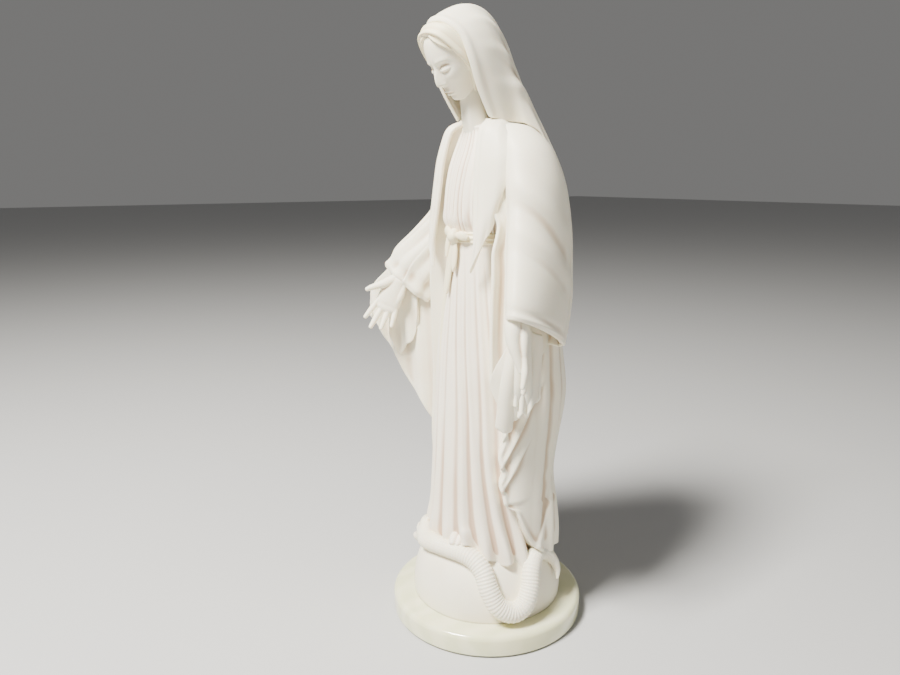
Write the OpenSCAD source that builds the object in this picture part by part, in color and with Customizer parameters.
// Standing madonna statuette: draped figure with open hands, treading on a serpent that lies
// over a globe, on a turned stone base. Millimetres.
// +Z is up, the figure faces -Y and its left hand is on +X.
// The origin is the centre of the flat underside.

/* [Overall] */
// Height from the table to the top of the veil
statue_h = 300; // [240:1:400]

/* [Stone base] */
// Diameter of the stone disc
disc_d = 98.6; // [92:0.2:110]
// Thickness of the stone disc
disc_t = 10.2; // [9.5:0.1:14]
// Radius of the rounded upper rim of the disc
rim_r = 2.6; // [1:0.1:4]
// Thickness of the felt pad under the disc
felt_t = 0.8; // [0.5:0.1:1.5]
// How far the felt stays inside the edge of the disc
felt_inset = 3; // [1:0.5:8]

/* [Fixing] */
// Major diameter of the fixing screw
screw_d = 4; // [3:0.5:5]
// Diameter of the screw head
screw_head_d = 8; // [6.5:0.5:9]
// Height of the screw head
screw_head_t = 2.4; // [1.5:0.1:2.8]
// Outer diameter of the washer under the head
washer_d = 9; // [8.5:0.5:10]
// Thickness of the washer
washer_t = 0.8; // [0.5:0.1:1]
// Outer diameter of the brass insert moulded into the globe
insert_d = 6; // [6:0.5:8]
// Length of the brass insert
insert_len = 12; // [8:1:16]
// Diameter of the dowels that hold the hands
dowel_d = 3; // [2:0.5:3.5]
// Length of those dowels
dowel_len = 12; // [8:1:14]

/* [Globe and serpent] */
// Radius of the globe
globe_r = 38.4; // [37:0.1:39]
// Height of the centre of the globe above the table
globe_z = 15; // [14:0.1:16]
// Thickness of the serpent at its middle
serpent_d = 8.4; // [7:0.1:10]

/* [Figure] */
// How far the head is bowed forward, in degrees
head_bow = 33; // [29:1:36]
// Depth of the long skirt folds as a share of the skirt's radius
fold_depth = 0.035; // [0:0.005:0.06]
// Number of folds round the skirt
fold_count = 11; // [7:1:15]
// Thickness of the sash
sash_t = 1.2; // [0.8:0.1:2]
// Width of the sash
sash_w = 6.5; // [5:0.5:9]

/* [Hidden] */

// The figure is drawn for a 300 mm statue whose base is 11 mm high.
drawn_h = 300;
drawn_base = 11;
base_top = felt_t + disc_t;
size = (statue_h - base_top) / (drawn_h - drawn_base);

// Screw stack, measured up from the table.
pocket_top = felt_t + screw_head_t + washer_t + 1.4;
pocket_d = washer_d + 3;
washer_low = pocket_top - washer_t;
clearance_d = screw_d + 0.6;
washer_bore = screw_d + 0.3;
// The screw stops short of the insert's end, and its shank clears the insert's bore.
screw_tip = base_top + insert_len - 1;
thread_gap = 0.05;
// How much deeper than the insert its blind hole is.
blind_extra = 1;

// Facets of a smooth ring, of a limb and of a finger.
ring_n = 28;
limb_n = 16;
finger_n = 8;
// Gap kept between the globe and what lies on it, and between glued pieces.
glue = 0.06;

// Where the waist seam lies, and the y at which the back of the mantle meets its sides.
waist_z = 198;
side_y = -1;
// Height of the hem, which rests on the upper part of the globe.
hem_z = 42;

head_c = [0, -20.2, 277.8];
left_wrist = [48.2, -18.6, 164];
right_wrist = [-45.8, -20.6, 169];
left_hand_turn = [7, 0, -46];
right_hand_turn = [-10, 24, 52];

ivory = "ivory";
cream = "cornsilk";
stone = "palegoldenrod";

// ---- Curves and skins ---------------------------------------------------------------------

function unit(v) = v / norm(v);

// One point of a smooth curve through b and c, with a and d as their outer neighbours.
function between(a, b, c, d, t) =
    0.5 * (2 * b + (c - a) * t + (2 * a - 5 * b + 4 * c - d) * t * t
    + (3 * b - a - 3 * c + d) * t * t * t);

// A smooth run through a list of stations, with the given number of steps in each gap.
function smooth(s, steps) = [
    for (i = [0 : len(s) - 2], j = [0 : steps - 1])
        between(s[max(i - 1, 0)], s[i], s[i + 1], s[min(i + 2, len(s) - 1)], j / steps),
    s[len(s) - 1]];

// A number between -1 and 1 pushed outwards: power 1 leaves it, a lower power squares the ring.
function pushed(v, power) = sign(v) * pow(abs(v), power);

// A level oval ring from a station [height, half width, half depth, centre y, centre x].
function oval(s, folds = 0, depth = 0, power = 1) = [
    for (i = [0 : ring_n - 1])
        let (a = i * 360 / ring_n, k = 1 + depth * cos(folds * a))
            [s[4] + s[1] * k * pushed(cos(a), power), s[3] + s[2] * k * pushed(sin(a), power),
             s[0]]];

// An oval hoop about point p, square to direction d; side points along its first radius.
function hoop(p, d, side, r, n) =
    let (v = unit(cross(d, side)), u = cross(v, d))
        [for (i = [0 : n - 1])
            p + u * r[0] * cos(i * 360 / n) + v * r[1] * sin(i * 360 / n)];

function heading(path, i) =
    unit(path[min(i + 1, len(path) - 1)] - path[max(i - 1, 0)]);

function middle(ring) = [for (k = [0 : 2]) [for (p = ring) p[k]] * [for (p = ring) 1] / len(ring)];

// A closed skin over a stack of rings with equal numbers of points.
module skin(rings) {
    n = len(rings[0]);
    m = len(rings);
    low = n * m;
    high = low + 1;
    points = concat([for (r = rings) each r], [middle(rings[0]), middle(rings[m - 1])]);
    sides = [for (j = [0 : m - 2], i = [0 : n - 1])
        let (a = j * n + i, b = j * n + (i + 1) % n)
            each [[a, a + n, b + n], [a, b + n, b]]];
    ends = [for (i = [0 : n - 1])
        let (a = i, b = (i + 1) % n, t = n * (m - 1))
            each [[low, a, b], [high, t + b, t + a]]];
    polyhedron(points, concat(sides, ends), convexity = 6);
}

// A body of level ovals through stations [height, half width, half depth, centre y, centre x].
module ovals(stations, steps = 2, folds = 0, depth = 0, power = 1)
    skin([for (s = smooth(stations, steps)) oval(s, folds, depth, power)]);

// A limb through stations [x, y, z, radius along side, radius across it].
module limb(stations, side, steps = 3, n = limb_n) {
    run = smooth(stations, steps);
    path = [for (s = run) [s[0], s[1], s[2]]];
    skin([for (i = [0 : len(run) - 1])
        hoop(path[i], heading(path, i), side, [run[i][3], run[i][4]], n)]);
}

// The first child with all the others cut away, as one closed mesh.
module carved() resize([0, 0, 0]) difference() {
    children(0);
    if ($children > 1) children([1 : $children - 1]);
}

// All children as one closed mesh.
module joined() resize([0, 0, 0]) union() children();

// Places the figure, drawn at its standard height, on top of the base.
module figure() translate([0, 0, base_top]) scale(size) translate([0, 0, -drawn_base]) children();

// ---- Rough bodies, before their neighbours are cut away -------------------------------------

module globe_ball() translate([0, 0, globe_z]) sphere(globe_r + 2 * glue, $fn = 48);

// Distance of the serpent's centre line from the globe's centre.
coil_r = globe_r + serpent_d * 0.32;

// A point over the globe: degrees round from the front towards the left side, degrees up.
function on_globe(turn, lift, r) =
    [r * cos(lift) * sin(turn), -r * cos(lift) * cos(turn), globe_z + r * sin(lift)];

// The serpent's way over the globe, as [turn, lift, share of its full thickness].
serpent_way = [[-34, 35, 0.95], [-18, 38, 1.1], [-4, 41, 1], [14, 42, 0.95], [29, 42, 1],
    [41, 39, 1], [51, 31, 1], [56, 19, 1], [62, 9, 1], [71, 5.5, 1], [79, 9, 0.98],
    [85, 19, 0.92], [92, 30, 0.88], [103, 36, 0.8], [115, 33, 0.62], [122, 23, 0.4],
    [117, 14, 0.16]];

module serpent_run() limb([for (w = serpent_way)
    let (p = on_globe(w[0], w[1], coil_r), r = w[2] * serpent_d / 2) [p[0], p[1], p[2], r, r]],
    [0, 0, 1], 2, 12);

// One jaw: a short tapered limb that leaves the serpent's head.
module jaw(turn, lift, thick) {
    root = on_globe(-27, 36, coil_r);
    tip = on_globe(turn, lift, coil_r + 1);
    mid = (root + tip) / 2;
    limb([[root[0], root[1], root[2], 4.2, thick + 0.8],
        [mid[0], mid[1], mid[2], 4.4, thick],
        [tip[0], tip[1], tip[2], 1.6, 0.7 * thick]], [0.8, 0.4, 0], 2, 12);
}

module serpent_body() {
    serpent_run();
    jaw(-51, 42, 2.6);
    jaw(-46, 27, 2);
}

// Left foot, turned outwards over the serpent: stations run from the ankle to the toe roots.
module foot_body() {
    limb([[6, -9, 55, 5, 5.5], [8.5, -15, 53, 6.2, 4.6], [10.5, -19.5, 50.2, 6.9, 3.4],
        [12, -22, 48.6, 7, 2.6]], [0.8, 0.6, 0]);
    for (i = [0 : 4]) {
        root = [7.2 + i * 2.3, -23.2 + i * 1.5, 48 + i * 0.15];
        reach = i == 0 ? 4.6 : 4.2 - i * 0.35;
        r = i == 0 ? 1.75 : 1.25 - i * 0.06;
        limb([[root[0], root[1], root[2], r, r],
            [root[0] + reach * 0.35, root[1] - reach * 0.5, root[2] - 0.5, r, r],
            [root[0] + reach * 0.6, root[1] - reach * 0.8, root[2] - 1.6, r * 0.5, r * 0.5]],
            [0.8, 0.6, 0], 2, finger_n);
    }
}

module skirt_body() ovals([[hem_z, 32, 25, -3, 0], [52, 30.5, 24.6, -4, 0], [70, 28.6, 23.6, -4.8, 0],
    [95, 27, 22, -5.2, 0], [125, 25, 20, -5.6, 0], [155, 22.4, 17.4, -6.2, 0],
    [180, 19, 14.4, -6.8, 0], [waist_z, 17, 13, -7, 0]], 2, fold_count, fold_depth);

// The space under the lifted hem, through which the foot comes out.
module hem_arch() limb([[9, -16, 50, 7, 4], [12, -24, 48, 9, 7], [16, -36, 45, 11, 9]],
    [0.8, 0.6, 0], 2);

module bodice_body() ovals([[waist_z, 17, 13, -7, 0], [206, 18.8, 14.4, -6.6, 0],
    [218, 20, 15.2, -6, 0], [230, 19.4, 12.8, -5, 0], [240, 15.5, 9.6, -4.6, 0],
    [247, 8.5, 7.2, -5, 0]], 2, 16, 0.012);

module neck_body() limb([[0, -4.5, 238, 7.5, 6.5], [0, -6.5, 247, 5.6, 5.6],
    [0, -9.5, 256, 5.4, 5.8], [0, -13, 265, 6, 7]], [1, 0, 0]);

// Level stations of the head before it is bowed: chin, jaw, cheek, temple, brow, crown.
module head_shape(grow = 0) ovals([
    [-17.3 - grow, 2.6, 2.4, -9.8, 0], [-15.5 - grow, 5 + grow, 4.4 + grow, -9, 0],
    [-9, 9.2 + grow, 10.5 + grow, -4.4, 0], [0, 11.8 + grow, 14.3 + grow, -1, 0],
    [8, 12.2 + grow, 15.6 + grow, 0.6, 0], [14, 9 + grow, 11.5 + grow, 1.4, 0],
    [17.3 + grow, 2.5, 3, 1.8, 0]], 2);

module bowed() translate(head_c) rotate([head_bow, 0, 0]) children();

module head_body() bowed() {
    head_shape();
    limb([[0, -14.6, 3, 1, 1], [0, -16.4, -2, 1.3, 1.4], [0, -18.2, -5.4, 1.7, 1.6],
        [0, -15, -7.2, 1.1, 0.8]], [1, 0, 0], 2, finger_n);
}

// The hair covers the skull behind a plane that leans back from the hairline.
module hair_body() bowed() intersection() {
    head_shape(1.6);
    translate([-20, 0, 0]) rotate([-28, 0, 0]) translate([0, -11, -9]) cube([40, 40, 40]);
}

module inner_veil_body() bowed() intersection() {
    head_shape(3);
    translate([-20, 0, 0]) rotate([-34, 0, 0]) translate([0, -7.5, -12]) cube([40, 40, 40]);
}

module veil_body() intersection() {
    ovals([[182, 9, 3, 28.2, 0], [190, 18, 5.4, 26, 0], [198, 24.4, 8, 22.6, 0],
        [210, 25.4, 9.6, 20, 0], [222, 24.8, 10.6, 16.8, 0], [233, 24, 11.6, 12.4, 0],
        [243, 21.4, 12.4, 7.4, 0], [256, 18.4, 13.4, 1.6, 0], [268, 17.4, 15.8, -4, 0],
        [280, 16.4, 18.6, -11, 0], [290, 13.4, 17.4, -15.8, 0], [297, 8, 11.4, -17.6, 0],
        [300, 1.5, 2.5, -17, 0]], 1);
    bowed() rotate([-26, 0, 0]) translate([-100, -8, -300]) cube([200, 300, 600]);
}

// Everything the mantle covers, before it is parted into back, left and right.
module mantle_mass() ovals([[hem_z - 2, 33.6, 27.2, 4.6, 0], [52, 34.4, 27.6, 4, 0],
    [75, 34.8, 26.8, 3.6, 0], [110, 34.8, 27, 3.4, 0], [140, 34.2, 26.8, 3.2, 0],
    [170, 33.2, 26.4, 2.8, 0], [200, 31, 25.6, 2, 0], [218, 28.4, 22.6, 1.2, 0],
    [230, 25.4, 19.4, 0.6, 0], [240, 20.6, 15, 0.2, 0], [248, 12, 10.4, 0, 0]], 2,
    power = 0.84);

module behind(y) translate([-100, y, -10]) cube([200, 100, 400]);

// What lies outwards of a front border that runs through stations [height, x].
module beyond(border, s) rotate([90, 0, 0]) linear_extrude(200, center = true)
    polygon(concat([for (b = border) [s * b[1], b[0]]], [[s * 200, 300], [s * 200, 0]]));

// Front border of the mantle on the left: down the breast, back from the waist corner, then down.
left_border = [[26, 33], [60, 32.4], [85, 31], [104, 28], [129, 24], [152, 19], [176, 16],
    [181, 13], [200, 15], [225, 13], [240, 10], [252, 6]];
right_border = [[26, 32], [95, 28], [140, 23], [180, 17], [210, 15], [232, 13], [252, 8]];

module left_side_body() intersection() {
    mantle_mass();
    beyond(left_border, 1);
}

// Tongues of cloth that hang from the left forearm, from the front edge backwards.
module cascade() for (tongue = [[39.5, -22.5, 120], [39, -18, 110], [40, -13, 116],
    [39.5, -8, 124]]) {
    x = tongue[0];
    y = tongue[1];
    low = tongue[2];
    limb([[x, y, 160, 4.6, 3.4], [x - 1, y, 146, 4.4, 3.2], [x - 2.5, y, low + 10, 4, 2.6],
        [x - 3.5, y, low, 1.5, 1.2]], [-0.3, 0.95, 0], 2, finger_n);
}

module right_side_body() intersection() {
    mantle_mass();
    beyond(right_border, -1);
}

module back_body() intersection() {
    mantle_mass();
    behind(side_y);
}

// The fall of the mantle under the right forearm: a thin web with a slanting lower edge.
module right_fall() skin([for (s = smooth([[-26, -6, 222, 89, 3.2], [-38, -10, 211, 98, 3],
    [-47, -14, 199, 110, 2.8], [-56, -19.5, 187, 126, 2.6], [-63, -25, 176, 140, 2.2],
    [-68, -29, 166, 150, 1.2]], 2))
    let (mid = (s[2] + s[3]) / 2, half = (s[2] - s[3]) / 2)
        hoop([s[0], s[1], mid], [-0.79, -0.61, 0], [0, 0, 1], [half, s[4]], limb_n)]);

// The sleeve drapes: a long oval that hangs lower behind the arm than in front of it.
module left_sleeve_body() limb([[16, 0, 244, 9, 9], [23.4, 1.5, 236, 13, 10.5],
    [28.6, 3, 222, 17, 11], [32, 3, 205, 19.8, 10.8], [35, 0.8, 190, 21, 10.8],
    [38.4, -1.6, 176, 22.6, 10.6], [41.8, -5.4, 164, 22.6, 9.8], [43.2, -7.4, 157, 22, 9]],
    [-0.25, 0.97, 0]);

module right_sleeve_body() limb([[-16, 0, 244, 8.6, 8], [-23, 1.6, 233, 10, 9.2],
    [-28, 3, 218, 10.6, 8.8], [-32, 0.6, 205, 10.8, 8.4], [-38.6, -6, 191.5, 11.2, 8],
    [-45.4, -14.6, 179, 12, 7.6], [-48, -17.6, 169, 12, 7]], [0.7, 0.7, 0]);

// A hand that hangs from the wrist at the origin: fingers down, palm to -Y, thumb to s * X.
module hand_shape(s) {
    limb([[0, 0, 5, 4, 3.2], [0, 0, 0, 3.9, 3.1], [s * 0.4, 0, -6, 5.6, 3], [s * 0.3, 0, -12, 6.2, 2.6],
        [0, 0, -16, 5.8, 2]], [1, 0, 0]);
    // Fingers from the first to the little one: place, reach and radius.
    for (f = [[4.3, 12.5, 1.55], [1.5, 14, 1.6], [-1.4, 13, 1.5], [-4.1, 10.5, 1.35]])
        limb([[s * f[0], 0, -14, f[2], f[2]], [s * f[0] * 1.1, -0.4, -14 - f[1] * 0.45, f[2], f[2]],
            [s * f[0] * 1.12, -1.4, -14 - f[1] * 0.85, f[2] * 0.9, f[2] * 0.85],
            [s * f[0] * 1.1, -2, -14 - f[1], f[2] * 0.4, f[2] * 0.4]], [1, 0, 0], 2, finger_n);
    // Thumb
    limb([[s * 3.6, -0.6, -3, 2.2, 2.2], [s * 6.6, -2, -8, 2, 2.1], [s * 8, -3.4, -13, 1.6, 1.7],
        [s * 8.2, -4, -16.5, 0.6, 0.7]], [1, 0, 0], 2, finger_n);
}

module at_left_wrist() translate(left_wrist) rotate(left_hand_turn) children();
module at_right_wrist() translate(right_wrist) rotate(right_hand_turn) children();
module left_hand_body() at_left_wrist() hand_shape(1);
module right_hand_body() at_right_wrist() hand_shape(-1);

// The hole for a dowel, half in the hand and half in the sleeve.
module dowel_hole() cylinder(d = dowel_d + 4 * glue, h = dowel_len + 1, center = true, $fn = 32);
dowel_lift = [0, 0, 4];

module band_body() ovals([for (z = [waist_z - sash_w + 1 : sash_w / 4 : waist_z + 1.01])
    [z, 17.6 + sash_t + (waist_z - z) * 0.09, 13.5 + sash_t + (waist_z - z) * 0.08, -7, 0]], 1);

knot = [0, -22.4, waist_z - 1.5];
module bow_body() {
    limb([[0, knot[1] - 0.8, knot[2] + 3.4, 1.6, 1.2], [0, knot[1] - 1.6, knot[2], 3, 2.4],
        [0, knot[1] - 0.8, knot[2] - 3.4, 1.6, 1.2]], [1, 0, 0], 2, 12);
    for (s = [-1, 1])
        limb([[s * 1, -22.6, knot[2], 1.6, 1.2], [s * 5, -22.4, knot[2] + 0.8, 3, 1.9],
            [s * 8.6, -20.6, knot[2] + 0.4, 3.2, 1.8], [s * 10.4, -19.2, knot[2], 1.4, 1]],
            [0, 0, 1], 2, 12);
}

// The sash tails, as [side, height of the lower end].
module tails_body() for (tail = [[-1, 134], [1, 160]]) {
    s = tail[0];
    low = tail[1];
    limb([[s, -22, knot[2] - 2, 1.6, 1.2], [s * 3, -23, 184, 2.4, 1.4],
        [s * 4, -24, (184 + low) / 2, 2.6, 1.4], [s * 4.5, -25, low, 2.2, 1]], [1, 0, 0], 2, 16);
}

// ---- Pieces -----------------------------------------------------------------------------------

module felt_pad() color("darkolivegreen")
    cylinder(d = disc_d - 2 * felt_inset, h = felt_t, $fn = 128);

module base_disc() color(stone) difference() {
    rotate_extrude($fn = 128) {
        translate([0, felt_t]) square([disc_d / 2 - rim_r, disc_t]);
        translate([0, felt_t + 0.8]) square([disc_d / 2, disc_t - rim_r - 0.8]);
        translate([0, felt_t]) square([disc_d / 2 - 0.8, disc_t - rim_r]);
        translate([disc_d / 2 - rim_r, base_top - rim_r]) circle(rim_r, $fn = 64);
    }
    translate([0, 0, felt_t - 1]) cylinder(d = pocket_d, h = pocket_top - felt_t + 1, $fn = 64);
    cylinder(d = clearance_d, h = 100, $fn = 48);
}

module fixing_screw() color("silver") {
    translate([0, 0, washer_low - screw_head_t]) cylinder(d = screw_head_d, h = screw_head_t, $fn = 48);
    translate([0, 0, washer_low - 0.5]) cylinder(d = screw_d - 2 * thread_gap,
        h = screw_tip - washer_low + 0.5, $fn = 48);
}

module screw_washer() color("silver") translate([0, 0, washer_low]) difference() {
    cylinder(d = washer_d, h = washer_t, $fn = 48);
    translate([0, 0, -1]) cylinder(d = washer_bore, h = washer_t + 2, $fn = 48);
}

module threaded_insert() color("gold") translate([0, 0, base_top]) difference() {
    cylinder(d = insert_d, h = insert_len, $fn = 48);
    translate([0, 0, -1]) cylinder(d = screw_d, h = insert_len + 2, $fn = 48);
}

module globe() color(ivory) difference() {
    intersection() {
        translate([0, 0, globe_z]) sphere(globe_r, $fn = 128);
        translate([-100, -100, base_top]) cube([200, 200, 200]);
    }
    translate([0, 0, base_top - 1]) cylinder(d = insert_d, h = insert_len + blind_extra + 1, $fn = 48);
}

module serpent() color(ivory) figure() carved() {
    joined() serpent_body();
    globe_ball();
    difference() {
        skirt_body();
        hem_arch();
    }
    mantle_mass();
}

module left_foot() color(ivory) figure() carved() {
    joined() foot_body();
    globe_ball();
    serpent_body();
}

module gown_skirt() color(ivory) figure() carved() {
    skirt_body();
    globe_ball();
    foot_body();
    hem_arch();
}

module gown_bodice() color(ivory) figure() carved() {
    bodice_body();
    neck_body();
}

module sash_band() color(cream) figure() carved() {
    band_body();
    skirt_body();
    bodice_body();
}

module sash_bow() color(cream) figure() carved() {
    joined() bow_body();
    band_body();
    skirt_body();
    bodice_body();
}

module sash_tails() color(cream) figure() carved() {
    tails_body();
    bow_body();
    band_body();
    skirt_body();
}

module neck() color(ivory) figure() carved() {
    neck_body();
    head_body();
}

module head() color(ivory) figure() joined() head_body();

module hair() color(cream) figure() carved() {
    hair_body();
    head_body();
    neck_body();
}

module inner_veil() color(cream) figure() carved() {
    inner_veil_body();
    head_and_neck();
}

// The head with its hair, and the neck, as one cutter.
module head_and_neck() {
    hair_body();
    head_body();
    neck_body();
}

module veil() color(ivory) figure() carved() {
    veil_body();
    inner_veil_body();
    head_and_neck();
    mantle_mass();
    bodice_body();
}

module mantle_back() color(ivory) figure() carved() {
    back_body();
    skirt_body();
    bodice_body();
    neck_body();
    band_body();
    globe_ball();
    left_sleeve_body();
    right_sleeve_body();
}

module mantle_left() color(ivory) figure() carved() {
    joined() {
        left_side_body();
        cascade();
    }
    behind(side_y);
    skirt_body();
    bodice_body();
    neck_body();
    band_body();
    globe_ball();
    left_sleeve_body();
    left_hand_body();
}

module mantle_right() color(ivory) figure() carved() {
    joined() {
        right_side_body();
        right_fall();
    }
    behind(side_y);
    skirt_body();
    bodice_body();
    neck_body();
    band_body();
    globe_ball();
    right_sleeve_body();
    right_hand_body();
}

module left_sleeve() color(ivory) figure() carved() {
    left_sleeve_body();
    bodice_body();
    left_hand_body();
    at_left_wrist() translate(dowel_lift) dowel_hole();
}

module right_sleeve() color(ivory) figure() carved() {
    right_sleeve_body();
    bodice_body();
    right_hand_body();
    at_right_wrist() translate(dowel_lift) dowel_hole();
}

module left_hand() color(ivory) figure() carved() {
    joined() left_hand_body();
    at_left_wrist() translate(dowel_lift) dowel_hole();
}

module right_hand() color(ivory) figure() carved() {
    joined() right_hand_body();
    at_right_wrist() translate(dowel_lift) dowel_hole();
}

module left_hand_dowel() color("silver") figure() at_left_wrist() translate(dowel_lift)
    cylinder(d = dowel_d, h = dowel_len, center = true, $fn = 32);

module right_hand_dowel() color("silver") figure() at_right_wrist() translate(dowel_lift)
    cylinder(d = dowel_d, h = dowel_len, center = true, $fn = 32);

felt_pad();
base_disc();
fixing_screw();
screw_washer();
threaded_insert();
globe();
serpent();
left_foot();
gown_skirt();
gown_bodice();
sash_band();
sash_bow();
sash_tails();
neck();
head();
hair();
inner_veil();
veil();
mantle_back();
mantle_left();
mantle_right();
left_sleeve();
right_sleeve();
left_hand();
right_hand();
left_hand_dowel();
right_hand_dowel();
